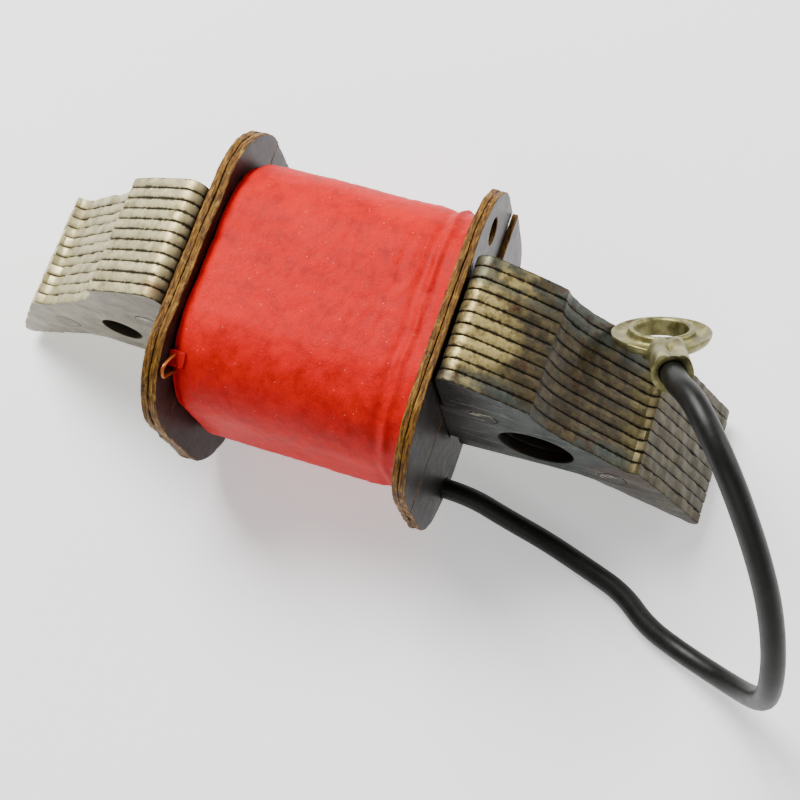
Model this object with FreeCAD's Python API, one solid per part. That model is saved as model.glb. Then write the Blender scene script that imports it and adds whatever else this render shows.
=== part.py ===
import FreeCAD, Part
import os
import math
from FreeCAD import Vector as V

# Stator ignition (source) coil for a flywheel magneto.
# X runs along the core from the left pole to the right pole, Y through the
# lamination stack (front plate at -Y), Z up towards the flywheel arc.
# Origin: on the resting plane (bottom edges of the fibre cheeks), below the
# middle of the core. All lengths in millimetres.

# ---- driving dimensions --------------------------------------------------
LAM_COUNT = 11            # laminations in the stack
LAM_PITCH = 1.0           # sheet plus its varnish film
LAM_T = 0.98              # bare sheet
STACK = LAM_COUNT * LAM_PITCH

BORE_R = 39.0             # radius of the flywheel arc
BORE_Z = -12.9            # height of the arc's centre

NECK_BOTTOM = 7.8         # the waist that carries the winding
NECK_TOP = 16.6
ROOT_X = 11.85            # where the arms start, above the waist
ROOT_X_LOW = 12.25        # where the arms start, below the waist

HOLE_X = 19.6             # mounting holes, through the stack along Y
HOLE_Z = 11.7
LEFT_HOLE_R = 1.9         # clearance for an M3.5 screw
RIGHT_HOLE_R = 3.3        # clearance for an M6 screw

RIVET_R = 1.2
RIVET_XZ = [(15.3, 16.4), (26.3, 9.0)]

BOARD_T = 0.55            # vulcanised fibre board, right cheek
BOARD_TL = 0.65           # and left cheek
CHEEK_HALF_Y = 14.2
CHEEK_TOP = 23.0
CHEEK_R = 7.5
CHEEK_IN = 10.4           # inner faces of the cheeks
SLOT = 11.16              # slots that straddle the stack

WIND_Z = 12.2             # axis of the winding
WIND_HALF_Y = 11.7
WIND_HALF_Z = 10.0
WIND_R = 7.3
TAPE_T = 0.6
PAPER_T = 0.2

LEAD_D = 1.9              # insulated lead
COND_D = 1.1              # its stranded conductor
EXIT = (11.55, -9.0, 2.15)

RING_OD = 8.0
RING_HOLE = 4.3
RING_T = 0.8

os.makedirs("parts", exist_ok=True)
nodes = {}


def put(name, shape):
    nodes[name] = shape
    shape.exportStep("parts/%s.step" % name)
    print(name, "solids", len(shape.Solids), "volume %.3f" % shape.Volume,
          "valid", shape.isValid())


# ---- laminated core ------------------------------------------------------
def arc_z(x):
    return BORE_Z + math.sqrt(BORE_R ** 2 - x ** 2)


def line(a, b):
    return Part.LineSegment(V(a[0], 0, a[1]), V(b[0], 0, b[1])).toShape()


def arc(a, m, b):
    return Part.Arc(V(a[0], 0, a[1]), V(m[0], 0, m[1]), V(b[0], 0, b[1])).toShape()


def half_profile(s):
    """Edges of one arm, from the top of the waist round to its bottom, for
    s = +1 (right) or -1 (left)."""
    sh = (13.25, arc_z(13.25))
    kink = (19.5, arc_z(19.5))
    pts = [
        ("l", (0, NECK_TOP), (ROOT_X, NECK_TOP)),
        ("l", (ROOT_X, NECK_TOP), (ROOT_X, 22.35)),
        ("a", (ROOT_X, 22.35), (12.25, 23.42), sh),
        ("a", sh, (16.5, arc_z(16.5)), kink),
        ("l", kink, (19.62, 20.25)),
        ("a", (19.62, 20.25), (20.72, 18.2), (22.4, 16.5)),
        ("l", (22.4, 16.5), (27.2, 12.55)),
        ("a", (27.2, 12.55), (27.85, 12.42), (28.35, 12.75)),
        ("a", (28.35, 12.75), (31.65, 7.05), (34.12, 2.25)),
        ("a", (34.12, 2.25), (34.05, 1.45), (33.15, 1.5)),
        ("l", (33.15, 1.5), (25.9, 6.1)),
        ("a", (25.9, 6.1), (24.3, 6.95), (22.5, 7.25)),
        ("l", (22.5, 7.25), (ROOT_X_LOW, 6.0)),
        ("l", (ROOT_X_LOW, 6.0), (ROOT_X_LOW, NECK_BOTTOM)),
        ("l", (ROOT_X_LOW, NECK_BOTTOM), (0, NECK_BOTTOM)),
    ]
    out = []
    for p in pts:
        q = [(s * c[0], c[1]) for c in p[1:]]
        out.append(line(*q) if p[0] == "l" else arc(*q))
    return out


def outline_face():
    edges = half_profile(1) + half_profile(-1)
    # join the two half waists into single edges
    keep = [e for e in edges if not (
        e.Curve.TypeId == "Part::GeomLine" and
        min(abs(v.Point.x) for v in e.Vertexes) < 1e-6)]
    keep.append(line((-ROOT_X, NECK_TOP), (ROOT_X, NECK_TOP)))
    keep.append(line((-ROOT_X_LOW, NECK_BOTTOM), (ROOT_X_LOW, NECK_BOTTOM)))
    wire = Part.Wire(Part.__sortEdges__(keep))
    return Part.Face(wire)


face = outline_face()


def cyl_y(r, x, z, y0, y1):
    return Part.makeCylinder(r, y1 - y0, V(x, y0, z), V(0, 1, 0))


blank = face.extrude(V(0, LAM_T, 0))
blank.translate(V(0, -LAM_T / 2, 0))
blank = blank.cut(cyl_y(LEFT_HOLE_R, -HOLE_X, HOLE_Z, -2, 2))
blank = blank.cut(cyl_y(RIGHT_HOLE_R, HOLE_X, HOLE_Z, -2, 2))
for rx, rz in RIVET_XZ:
    for s in (-1, 1):
        blank = blank.cut(cyl_y(RIVET_R + 0.01, s * rx, rz, -2, 2))

for i in range(LAM_COUNT):
    y = -STACK / 2 + LAM_PITCH * (i + 0.5)
    lam = blank.copy()
    lam.translate(V(0, y, 0))
    put("lamination_%02d" % (i + 1), lam.Solids[0])

# four flush peened rivets hold the stack
rivets = []
for rx, rz in RIVET_XZ:
    for s in (-1, 1):
        rivets.append(cyl_y(RIVET_R, s * rx, rz, -STACK / 2 + 0.01, STACK / 2 - 0.01))
put("core_rivets", Part.makeCompound(rivets))


# ---- prisms about the winding axis ----------------------------------------
def rounded_rect(x, hy, hz, r, zc=WIND_Z):
    """Closed wire in the plane X = x, half sizes hy and hz, corner radius r."""
    e = []
    k = r * (1 - math.sqrt(0.5))

    def P(y, z):
        return V(x, y, zc + z)
    e.append(Part.LineSegment(P(-hy + r, hz), P(hy - r, hz)).toShape())
    e.append(Part.Arc(P(hy - r, hz), P(hy - k, hz - k), P(hy, hz - r)).toShape())
    e.append(Part.LineSegment(P(hy, hz - r), P(hy, -hz + r)).toShape())
    e.append(Part.Arc(P(hy, -hz + r), P(hy - k, -hz + k), P(hy - r, -hz)).toShape())
    e.append(Part.LineSegment(P(hy - r, -hz), P(-hy + r, -hz)).toShape())
    e.append(Part.Arc(P(-hy + r, -hz), P(-hy + k, -hz + k), P(-hy, -hz + r)).toShape())
    e.append(Part.LineSegment(P(-hy, -hz + r), P(-hy, hz - r)).toShape())
    e.append(Part.Arc(P(-hy, hz - r), P(-hy + k, hz - k), P(-hy + r, hz)).toShape())
    return Part.Wire(e)


def prism(x0, x1, hy, hz, r, zc=WIND_Z):
    return Part.Face(rounded_rect(x0, hy, hz, r, zc)).extrude(V(x1 - x0, 0, 0))


def box(x0, x1, y0, y1, z0, z1):
    return Part.makeBox(x1 - x0, y1 - y0, z1 - z0, V(x0, y0, z0))


# pressboard sleeve round the waist
PB = 0.35
ny, nz = STACK / 2 + 0.03, (NECK_TOP - NECK_BOTTOM) / 2 + 0.03
ins = prism(-10.36, 10.36, ny + PB, nz + PB, 0.35).cut(
    box(-11, 11, -ny, ny, WIND_Z - nz, WIND_Z + nz))

# magnet-wire winding, as one wound body
cw = prism(-10.2, 10.2, WIND_HALF_Y - TAPE_T - PAPER_T - 0.04,
           WIND_HALF_Z - TAPE_T - PAPER_T - 0.04, WIND_R - TAPE_T - PAPER_T - 0.04)
cw = cw.cut(prism(-11, 11, ny + PB + 0.03, nz + PB + 0.03, 0.38))

paper = prism(-10.1, 10.1, WIND_HALF_Y - TAPE_T - 0.02, WIND_HALF_Z - TAPE_T - 0.02,
              WIND_R - TAPE_T - 0.02).cut(
    prism(-11, 11, WIND_HALF_Y - TAPE_T - PAPER_T - 0.02,
          WIND_HALF_Z - TAPE_T - PAPER_T - 0.02, WIND_R - TAPE_T - PAPER_T - 0.02))

tape = prism(-10.3, 10.3, WIND_HALF_Y, WIND_HALF_Z, WIND_R).cut(
    prism(-11, 11, WIND_HALF_Y - TAPE_T, WIND_HALF_Z - TAPE_T, WIND_R - TAPE_T))


# ---- small wires ----------------------------------------------------------
def rounded_path(points, radii=None, report=None):
    """Straight runs joined by tangent arcs, in one wire."""
    pts = [V(*p) for p in points]
    n = len(pts)
    runs = [(pts[i + 1] - pts[i]).Length for i in range(n - 1)]
    edges = []
    cur = pts[0]
    for i in range(1, n - 1):
        a = (pts[i] - pts[i - 1]).normalize()
        b = (pts[i + 1] - pts[i]).normalize()
        turn = a.getAngle(b)
        t = 0.45 * min(runs[i - 1], runs[i])
        r = t / math.tan(turn / 2)
        if report is not None:
            report.append(round(r, 2))
        p0 = pts[i] - a * t
        p1 = pts[i] + b * t
        bis = (b - a).normalize()
        centre = pts[i] + bis * (r / math.cos(turn / 2))
        mid = centre - bis * r
        if (p0 - cur).Length > 1e-6:
            edges.append(Part.LineSegment(cur, p0).toShape())
        edges.append(Part.Arc(p0, mid, p1).toShape())
        cur = p1
    edges.append(Part.LineSegment(cur, pts[-1]).toShape())
    return Part.Wire(edges)


def tube(points, d, report=None):
    path = rounded_path(points, report=report)
    start = V(*points[0])
    direction = (V(*points[1]) - start).normalize()
    prof = Part.Wire([Part.makeCircle(d / 2.0, start, direction)])
    s = path.makePipeShell([prof], True, False)
    if s.ShapeType != "Solid":
        s = s.Solids[0]
    if s.Volume < 0:
        s.reverse()
    return s, path.Length


# start of the winding: a bight of magnet wire that stands out of the tape's
# left edge, runs down a groove at the winding's end and is earthed to the waist
START_D = 0.32
start_pts = [(-9.92, -6.25, 16.2), (-9.95, -8.3, 18.1), (-10.05, -9.9, 19.7),
             (-10.15, -10.95, 21.0), (-10.15, -10.35, 21.75), (-10.05, -9.2, 21.3),
             (-9.7, -8.1, 20.2)]
start_wire, start_len = tube(start_pts, START_D)
start_keep, _ = tube(start_pts, START_D + 0.04)
solder = Part.makeSphere(0.55, V(-9.92, -6.25, 16.2)).common(
    box(-10.36, -8, -6.9, -5.55, 15.4, 17.2))
solder = solder.cut(start_keep)
solder_keep = Part.makeSphere(0.58, V(-9.92, -6.25, 16.2))
ins_cut = ins.cut(box(-10.9, -9.2, -6.9, -5.53, 15.55, 16.95))

cw = cw.cut(start_keep).cut(solder_keep)
paper = paper.cut(start_keep)
tape = tape.cut(start_keep)

# finish of the winding: soldered to the lead just inside the right cheek
JX = 9.0
fin_dir = V(0, 4.5, 7.3).normalize()
fin_a = V(JX, EXIT[1], EXIT[2]) + fin_dir * 0.55
fin_b = V(JX, EXIT[1], EXIT[2]) + fin_dir * 3.2
finish = Part.makeCylinder(0.25, (fin_b - fin_a).Length, fin_a, fin_dir)
finish_keep = Part.makeCylinder(0.27, (fin_b - fin_a).Length + 0.1,
                                fin_a - fin_dir * 0.02, fin_dir)
cw = cw.cut(finish_keep)
paper = paper.cut(finish_keep)
tape = tape.cut(finish_keep)


def cyl_x(r, x0, x1, y=EXIT[1], z=EXIT[2]):
    return Part.makeCylinder(r, x1 - x0, V(x0, y, z), V(1, 0, 0))


STUB_X = 9.75
put("core_insulation", ins_cut.Solids[0])
put("copper_winding", max(cw.Solids, key=lambda s: s.Volume))
put("winding_paper", max(paper.Solids, key=lambda s: s.Volume))
put("tape_wrap", max(tape.Solids, key=lambda s: s.Volume))
put("start_wire", start_wire)
put("earth_solder", max(solder.Solids, key=lambda s: s.Volume))

# free end of the last turn of tape, lying over the wrap at its left edge
fl = prism(-10.36, -9.0, WIND_HALF_Y + 0.13, WIND_HALF_Z + 0.13, WIND_R + 0.13).cut(
    prism(-11, -5, WIND_HALF_Y + 0.015, WIND_HALF_Z + 0.015, WIND_R + 0.015))
fl = fl.common(box(-10.36, -9.0, -9.5, -8.3, 12.0, 23.0))
fl = fl.cut(start_keep)
put("tape_end_flap", max(fl.Solids, key=lambda s: s.Volume))

# ---- fibre cheeks ----------------------------------------------------------
CZ = CHEEK_TOP / 2.0


def board(x0, x1):
    return prism(x0, x1, CHEEK_HALF_Y, CZ, CHEEK_R, CZ)


def slot_box(z0, z1):
    return box(-20, 20, -SLOT / 2, SLOT / 2, z0, z1)


lead_hole = cyl_x(LEAD_D / 2 + 0.06, 9.0, 13.0)
neck_hi = NECK_TOP + 0.04
neck_lo = NECK_BOTTOM - 0.04
LEFT_SPLIT = (15.95, 16.05)       # gap between the two half boards, left
RIGHT_SPLIT = (13.35, 13.5)      # and right

# left cheek: full board outside, two half boards inside
lf = board(-CHEEK_IN - 2 * BOARD_TL - 0.08, -CHEEK_IN - BOARD_TL - 0.08).cut(
    slot_box(-1, neck_hi))
put("left_cheek_full_board", lf.Solids[0])
lu = board(-CHEEK_IN - BOARD_TL, -CHEEK_IN).common(
    box(-20, 20, -20, 20, LEFT_SPLIT[1], 30)).cut(slot_box(-1, neck_hi))
put("left_cheek_upper_half", lu.Solids[0])
ll = board(-CHEEK_IN - BOARD_TL - 0.06, -CHEEK_IN - 0.06).common(
    box(-20, 20, -20, 20, -1, LEFT_SPLIT[0])).cut(slot_box(neck_lo, 20))
put("left_cheek_lower_half", ll.Solids[0])

# right cheek: full board inside, two half boards outside; the lower half is
# sprung outwards on its back leg
rf = board(CHEEK_IN, CHEEK_IN + BOARD_T).cut(slot_box(-1, neck_hi)).cut(lead_hole)
put("right_cheek_full_board", rf.Solids[0])
XR = CHEEK_IN + BOARD_T + 0.05
ru = board(XR, XR + BOARD_T).common(box(-20, 20, -20, 20, RIGHT_SPLIT[1], 30))
ru = ru.cut(slot_box(-1, neck_hi))
ru = ru.cut(Part.makeCylinder(1.2, 4, V(9, 9.65, 18.8), V(1, 0, 0)))
put("right_cheek_upper_half", ru.Solids[0])


def strip(y0, y1, ya, yb, x0, lift, t, z0, z1):
    """Board bent in plan: flat at x0 up to ya, lifted by lift from yb on."""
    p = [V(x0, y0, z0), V(x0, ya, z0), V(x0 + lift, yb, z0), V(x0 + lift, y1, z0),
         V(x0 + lift + t, y1, z0), V(x0 + lift + t, yb, z0), V(x0 + t, ya, z0),
         V(x0 + t, y0, z0), V(x0, y0, z0)]
    return Part.Face(Part.makePolygon(p)).extrude(V(0, 0, z1 - z0))


rl = strip(-16, 16, -3.5, 3.5, XR, 0.5, BOARD_T, -1, RIGHT_SPLIT[0])
rl = rl.common(board(XR - 1, XR + 3)).cut(slot_box(neck_lo, 20)).cut(lead_hole)
put("right_cheek_lower_half", rl.Solids[0])

# ---- lead ------------------------------------------------------------------
# held end: through both boards, soldered to the finish of the winding
put("lead_inner_stub", cyl_x(LEAD_D / 2, STUB_X, EXIT[0]))
joint = cyl_x(0.62, 8.55, STUB_X).cut(
    Part.makeCylinder(0.26, 2, fin_a - fin_dir * 0.01, fin_dir))
put("lead_solder_joint", max(joint.Solids, key=lambda s: s.Volume))
put("finish_wire", finish)
sleeve = cyl_x(1.28, 8.45, 10.36).cut(cyl_x(LEAD_D / 2 + 0.02, 8.0, 10.5)).cut(
    Part.makeCylinder(0.3, 6, fin_a - fin_dir * 0.3, fin_dir))
sleeve = sleeve.cut(prism(5, 11, WIND_HALF_Y + 0.02, WIND_HALF_Z + 0.02, WIND_R + 0.02))
put("joint_sleeve", max(sleeve.Solids, key=lambda s: s.Volume))

# ring terminal frame: centre of the eye, long axis A towards the barrel,
# N square to the ring on the collar side
RC = V(27.31, 4.57, 17.58)
A = V(0.2208, -0.6137, 0.7580).normalize()
N0 = V(-0.1937, 0.7341, 0.6508)
N = (N0 - A * N0.dot(A)).normalize()
M = N.cross(A)


def loc(s, m, n):
    return RC + A * s + M * m + N * n


BARREL_N = 0.7
MOUTH = loc(9.3, 0, BARREL_N)
END = loc(8.1, 0, BARREL_N)
BEND = loc(10.72, 0, BARREL_N)      # where the lead starts to turn

# free lead: out of the cheek, along the surface, up and over to the terminal
lead_pts = [
    EXIT, (14.0, -9.0, 2.15), (17.7, -9.85, 1.35), (21.9, -10.75, 1.02),
    (26.0, -12.05, 1.05), (29.6, -13.2, 1.0), (32.4, -15.45, 1.0),
    (35.9, -16.75, 1.12), (39.65, -18.15, 3.11), (41.88, -19.19, 6.1),
    (42.75, -19.62, 9.73), (42.59, -19.02, 13.58), (41.86, -17.02, 17.19),
    (40.54, -14.52, 20.45), (38.74, -12.05, 23.42), (36.66, -9.57, 26.06),
    (34.65, -7.31, 28.05), (32.68, -4.96, 28.53), (31.07, -2.88, 27.8),
    (BEND.x, BEND.y, BEND.z), (END.x, END.y, END.z)]
radii = []
lead, lead_len = tube(lead_pts, LEAD_D, radii)
print("lead length %.2f" % lead_len, "volume %.3f" % lead.Volume,
      "section x length %.3f" % (math.pi * LEAD_D ** 2 / 4 * lead_len))
print("lead arc radii", radii, "smallest in diameters %.2f" % (min(radii) / LEAD_D))
print("lead end", END, "bend", BEND, "mouth", MOUTH, "lowest", lead.BoundBox.ZMin)
put("lead_wire", lead)

cond = Part.makeCylinder(COND_D / 2, 2.9, loc(5.2, 0, BARREL_N), A)
put("lead_conductor", cond)


def slab(s0, s1, m0, m1, n0, n1):
    p = [loc(s0, m0, n0), loc(s1, m0, n0), loc(s1, m1, n0), loc(s0, m1, n0), loc(s0, m0, n0)]
    return Part.Face(Part.makePolygon(p)).extrude(N * (n1 - n0))


ring = Part.makeCylinder(RING_OD / 2, RING_T, loc(0, 0, -RING_T / 2), N)
collar = Part.makeCylinder(2.7, 0.7, loc(0, 0, RING_T / 2), N)
neck = slab(2.6, 5.3, -1.6, 1.6, -RING_T / 2, RING_T / 2)
barrel = Part.makeCylinder(1.55, 4.5, loc(4.8, 0, BARREL_N), A)
term = ring.fuse(collar).fuse(neck).fuse(barrel)
term = term.cut(Part.makeCylinder(RING_HOLE / 2, 3, loc(0, 0, -1.5), N))
term = term.cut(Part.makeCylinder(COND_D / 2 + 0.02, 3.2, loc(5.2, 0, BARREL_N), A))
term = term.cut(Part.makeCylinder(LEAD_D / 2 + 0.03, 1.3, loc(8.1, 0, BARREL_N), A))
term = term.removeSplitter()
put("ring_terminal", term.Solids[0])
print("ring centre", RC, "normal", N, "axis", A)

# ---- summary ---------------------------------------------------------------
bb = FreeCAD.BoundBox()
for name, s in nodes.items():
    if name not in ("lead_wire", "lead_conductor", "ring_terminal"):
        bb.add(s.BoundBox)
print("object box without the lead", bb)
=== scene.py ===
import bpy, bmesh, math
from mathutils import Vector, Matrix, noise


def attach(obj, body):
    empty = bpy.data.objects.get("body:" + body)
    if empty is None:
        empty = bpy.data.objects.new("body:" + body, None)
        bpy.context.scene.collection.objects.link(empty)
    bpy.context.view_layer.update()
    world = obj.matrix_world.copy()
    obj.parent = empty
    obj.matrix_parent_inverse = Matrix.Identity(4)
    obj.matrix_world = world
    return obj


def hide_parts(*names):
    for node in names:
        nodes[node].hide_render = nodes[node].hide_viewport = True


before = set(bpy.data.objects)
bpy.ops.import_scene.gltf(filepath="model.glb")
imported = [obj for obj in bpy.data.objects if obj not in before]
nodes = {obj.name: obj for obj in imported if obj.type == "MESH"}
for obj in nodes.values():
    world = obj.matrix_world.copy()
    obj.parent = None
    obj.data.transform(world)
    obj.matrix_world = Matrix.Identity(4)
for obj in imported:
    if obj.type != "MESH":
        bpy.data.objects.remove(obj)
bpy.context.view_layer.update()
MM = 0.001


# ---------------------------------------------------------------- materials
class Mat:
    """A procedural material; self.p is the object's own position in mm."""

    def __init__(self, name, metallic=0.0, spec=0.5):
        self.m = bpy.data.materials.new(name)
        self.m.use_nodes = True
        self.nt = self.m.node_tree
        self.nt.nodes.clear()
        out = self.new("ShaderNodeOutputMaterial")
        self.b = self.new("ShaderNodeBsdfPrincipled")
        self.nt.links.new(self.b.outputs[0], out.inputs[0])
        self.b.inputs["Metallic"].default_value = metallic
        self.b.inputs["Specular IOR Level"].default_value = spec
        tc = self.new("ShaderNodeTexCoord")
        sc = self.new("ShaderNodeVectorMath")
        sc.operation = "SCALE"
        sc.inputs["Scale"].default_value = 1000.0
        self.nt.links.new(tc.outputs["Object"], sc.inputs[0])
        self.p = sc.outputs[0]
        sep = self.new("ShaderNodeSeparateXYZ")
        self.nt.links.new(self.p, sep.inputs[0])
        self.x, self.y, self.z = sep.outputs
        self.h = None

    def new(self, kind):
        return self.nt.nodes.new(kind)

    def put(self, sock, v):
        if hasattr(v, "is_output"):
            self.nt.links.new(v, sock)
        elif isinstance(v, (tuple, list)):
            sock.default_value = tuple(v) + (1.0,) if len(v) == 3 and sock.type == "RGBA" else tuple(v)
        else:
            sock.default_value = v

    def math(self, op, a, b=0.0, c=None, clamp=False):
        n = self.new("ShaderNodeMath")
        n.operation = op
        n.use_clamp = clamp
        self.put(n.inputs[0], a)
        self.put(n.inputs[1], b)
        if c is not None:
            self.put(n.inputs[2], c)
        return n.outputs[0]

    def scaled(self, v):
        n = self.new("ShaderNodeVectorMath")
        n.operation = "MULTIPLY"
        self.nt.links.new(self.p, n.inputs[0])
        n.inputs[1].default_value = v
        return n.outputs[0]

    def noise(self, scale, detail=3.0, rough=0.55, coord=None, dist=0.0):
        n = self.new("ShaderNodeTexNoise")
        n.inputs["Scale"].default_value = scale
        n.inputs["Detail"].default_value = detail
        n.inputs["Roughness"].default_value = rough
        n.inputs["Distortion"].default_value = dist
        self.nt.links.new(coord or self.p, n.inputs["Vector"])
        return n.outputs["Fac"]

    def voronoi(self, scale, feature="F1", coord=None):
        n = self.new("ShaderNodeTexVoronoi")
        n.feature = feature
        n.inputs["Scale"].default_value = scale
        self.nt.links.new(coord or self.p, n.inputs["Vector"])
        return n.outputs["Distance"]

    def white(self, v):
        n = self.new("ShaderNodeTexWhiteNoise")
        n.noise_dimensions = "1D"
        self.put(n.inputs["W"], v)
        return n.outputs["Value"]

    def step(self, v, a, b, lo=0.0, hi=1.0):
        n = self.new("ShaderNodeMapRange")
        n.interpolation_type = "SMOOTHSTEP"
        self.put(n.inputs["Value"], v)
        n.inputs["From Min"].default_value = a
        n.inputs["From Max"].default_value = b
        n.inputs["To Min"].default_value = lo
        n.inputs["To Max"].default_value = hi
        return n.outputs["Result"]

    def band(self, v, a, b, soft):
        return self.math("MULTIPLY", self.step(v, a - soft, a + soft), self.step(v, b - soft, b + soft, 1.0, 0.0))

    def ramp(self, fac, stops):
        n = self.new("ShaderNodeValToRGB")
        cr = n.color_ramp
        while len(cr.elements) > 1:
            cr.elements.remove(cr.elements[-1])
        cr.elements[0].position = stops[0][0]
        cr.elements[0].color = tuple(stops[0][1]) + (1,)
        for pos, col in stops[1:]:
            e = cr.elements.new(pos)
            e.color = tuple(col) + (1,)
        self.put(n.inputs[0], fac)
        return n.outputs[0]

    def mix(self, fac, a, b, blend="MIX"):
        n = self.new("ShaderNodeMix")
        n.data_type = "RGBA"
        n.blend_type = blend
        self.put(n.inputs[0], fac)
        self.put(n.inputs[6], a)
        self.put(n.inputs[7], b)
        return n.outputs[2]

    def near(self, c, r, soft):
        """1 inside a ball of radius r about c (mm), fading over soft."""
        n = self.new("ShaderNodeVectorMath")
        n.operation = "DISTANCE"
        self.nt.links.new(self.p, n.inputs[0])
        n.inputs[1].default_value = c
        return self.step(n.outputs["Value"], r - soft, r + soft, 1.0, 0.0)

    def color(self, v):
        self.put(self.b.inputs["Base Color"], v)

    def rough(self, v):
        self.put(self.b.inputs["Roughness"], v)

    def bump(self, height, dist, strength=1.0):
        """height in 0..1, dist in mm."""
        n = self.new("ShaderNodeBump")
        n.inputs["Strength"].default_value = strength
        n.inputs["Distance"].default_value = dist * MM
        self.put(n.inputs["Height"], height)
        if self.h is not None:
            self.nt.links.new(self.h, n.inputs["Normal"])
        self.h = n.outputs[0]
        self.nt.links.new(self.h, self.b.inputs["Normal"])


def srgb(h):
    """Linear colour of a six-digit code."""
    c = [int(h[i:i + 2], 16) / 255.0 for i in (0, 2, 4)]
    return tuple(v / 12.92 if v <= 0.04045 else ((v + 0.055) / 1.055) ** 2.4 for v in c)


def steel_edges():
    """Sawn-looking punched edges of the sheets, one tint per sheet."""
    m = Mat("core_steel_edges", metallic=0.55)
    sheet = m.math("FLOOR", m.math("ADD", m.y, 5.5))
    r1 = m.white(sheet)
    r2 = m.white(m.math("ADD", sheet, 31.7))
    big = m.noise(0.32, 3)
    mid = m.noise(0.9, 4, 0.65)
    fine = m.noise(4.5, 4, 0.7)
    grain = m.noise(1.0, 3, 0.6, m.scaled((0.35, 6.0, 0.35)))
    # left arm: pale warm silver with brown speckle
    left = m.ramp(mid, [(0.25, srgb("8a8058")), (0.45, srgb("c2b78c")), (0.62, srgb("ddd3a4")), (0.8, srgb("c8b985"))])
    left = m.mix(m.math("MULTIPLY", m.step(fine, 0.60, 0.70), 0.65), left, srgb("6e5536"))
    yel = m.band(m.x, -13.6, -11.0, 0.8)
    left = m.mix(m.math("MULTIPLY", yel, 0.5), left, srgb("d0b878"))
    left = m.mix(m.math("MULTIPLY", m.band(m.x, -27.0, -19.3, 0.3), 0.25), left, srgb("9c9a86"))
    left = m.mix(m.near((-12.9, -4.6, 22.8), 1.0, 0.6), left, srgb("7a4522"))
    # right arm: tan by the cheek, brown past the kink, yellow at the ridge, grey-brown at the pole
    gold = m.ramp(mid, [(0.28, srgb("42341a")), (0.42, srgb("8b7a48")), (0.55, srgb("c0ae70")), (0.68, srgb("a39058")), (0.82, srgb("594526"))])
    brown = m.ramp(mid, [(0.3, srgb("1f1a0f")), (0.5, srgb("3f3520")), (0.62, srgb("54482c")), (0.8, srgb("2e2616"))])
    pole = m.ramp(mid, [(0.3, srgb("2c2719")), (0.5, srgb("4f4831")), (0.65, srgb("665d42")), (0.8, srgb("3b3422"))])
    right = m.mix(m.step(m.math("ADD", m.x, m.math("MULTIPLY", big, 5.0)), 16.8, 20.6), gold, brown)
    right = m.mix(m.math("MULTIPLY", m.band(m.x, 26.3, 28.35, 0.35), m.step(mid, 0.38, 0.55, 0.45, 1.0)), right, srgb("5f5531"))
    right = m.mix(m.step(m.x, 28.2, 28.7), right, pole)
    # heat tint: teal on the outer sheets, reddish patches
    outer = m.math("MAXIMUM", m.step(m.y, 2.4, 3.6), m.step(m.y, -3.4, -4.4))
    teal = m.math("MULTIPLY", m.math("MULTIPLY", outer, m.step(big, 0.42, 0.55)), 0.75)
    teal = m.math("MULTIPLY", teal, m.step(m.x, 28.0, 27.0))
    right = m.mix(teal, right, m.mix(mid, srgb("232b29"), srgb("566059")))
    red = m.math("MULTIPLY", m.step(m.noise(0.55, 3, 0.6, m.scaled((1.0, 1.3, 1.0))), 0.56, 0.66), 0.6)
    red = m.math("MULTIPLY", red, m.step(m.x, 27.5, 26.0))
    right = m.mix(red, right, srgb("42200f"))
    right = m.mix(m.math("MULTIPLY", m.step(fine, 0.60, 0.72), 0.6), right, srgb("2b2114"))
    col = m.mix(m.step(m.x, -1.0, 1.0), left, right)
    # each sheet its own tint, its edges dark with old varnish
    col = m.mix(0.30, col, m.ramp(r1, [(0.0, (0.62, 0.60, 0.52)), (1.0, (1.0, 1.0, 1.0))]), "MULTIPLY")
    q = m.math("ABSOLUTE", m.math("SUBTRACT", m.math("FRACT", m.math("ADD", m.y, 5.5)), 0.5))
    teeth = m.noise(1.0, 3, 0.6, m.scaled((2.6, 0.5, 2.6)))
    wob = m.math("MULTIPLY", m.math("SUBTRACT", teeth, 0.5), 0.55)
    edge = m.step(m.math("ADD", q, wob), 0.33, 0.44)
    soft = m.step(m.x, -20.5, -18.8, 0.38, 0.85)
    # painted shade: the -y half of each sheet's edge is darkened, so each sheet reads lit on top and shaded below
    painted_edge_shade = m.step(m.math("FRACT", m.math("ADD", m.y, 5.5)), 0.55, 0.05)
    col = m.mix(m.math("MULTIPLY", painted_edge_shade, 0.28), col, srgb("4d4026"))
    col = m.mix(m.math("MULTIPLY", edge, soft), col, m.mix(m.step(m.x, -21.0, -17.0), srgb("5d4f33"), srgb("1a130b")))
    col = m.mix(m.math("MULTIPLY", m.step(m.x, 27.5, 29.5), 0.42), col, srgb("2c2413"))
    # painted shadow: the sheets darken where they run in beside the cheek boards
    cheek_shadow = m.math("MULTIPLY", m.step(m.math("ABSOLUTE", m.x), 12.9, 12.0), 0.75)
    col = m.mix(cheek_shadow, col, srgb("17110a"))
    for hx, hr in ((-19.6, 1.9), (19.6, 3.3)):
        dx = m.math("SUBTRACT", m.x, hx)
        dz = m.math("SUBTRACT", m.z, 11.7)
        d = m.math("SQRT", m.math("ADD", m.math("MULTIPLY", dx, dx), m.math("MULTIPLY", dz, dz)))
        col = m.mix(m.math("MULTIPLY", m.step(d, hr + 0.15, hr + 0.05), 0.9), col, srgb("1c150c"))
    m.color(col)
    m.rough(m.math("ADD", 0.36, m.math("MULTIPLY", m.math("ADD", fine, r2), 0.16)))
    m.bump(grain, 0.05, 0.55)
    m.bump(mid, 0.12, 0.35)
    m.bump(m.voronoi(1.6), 0.06, 0.25)
    return m.m


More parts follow.
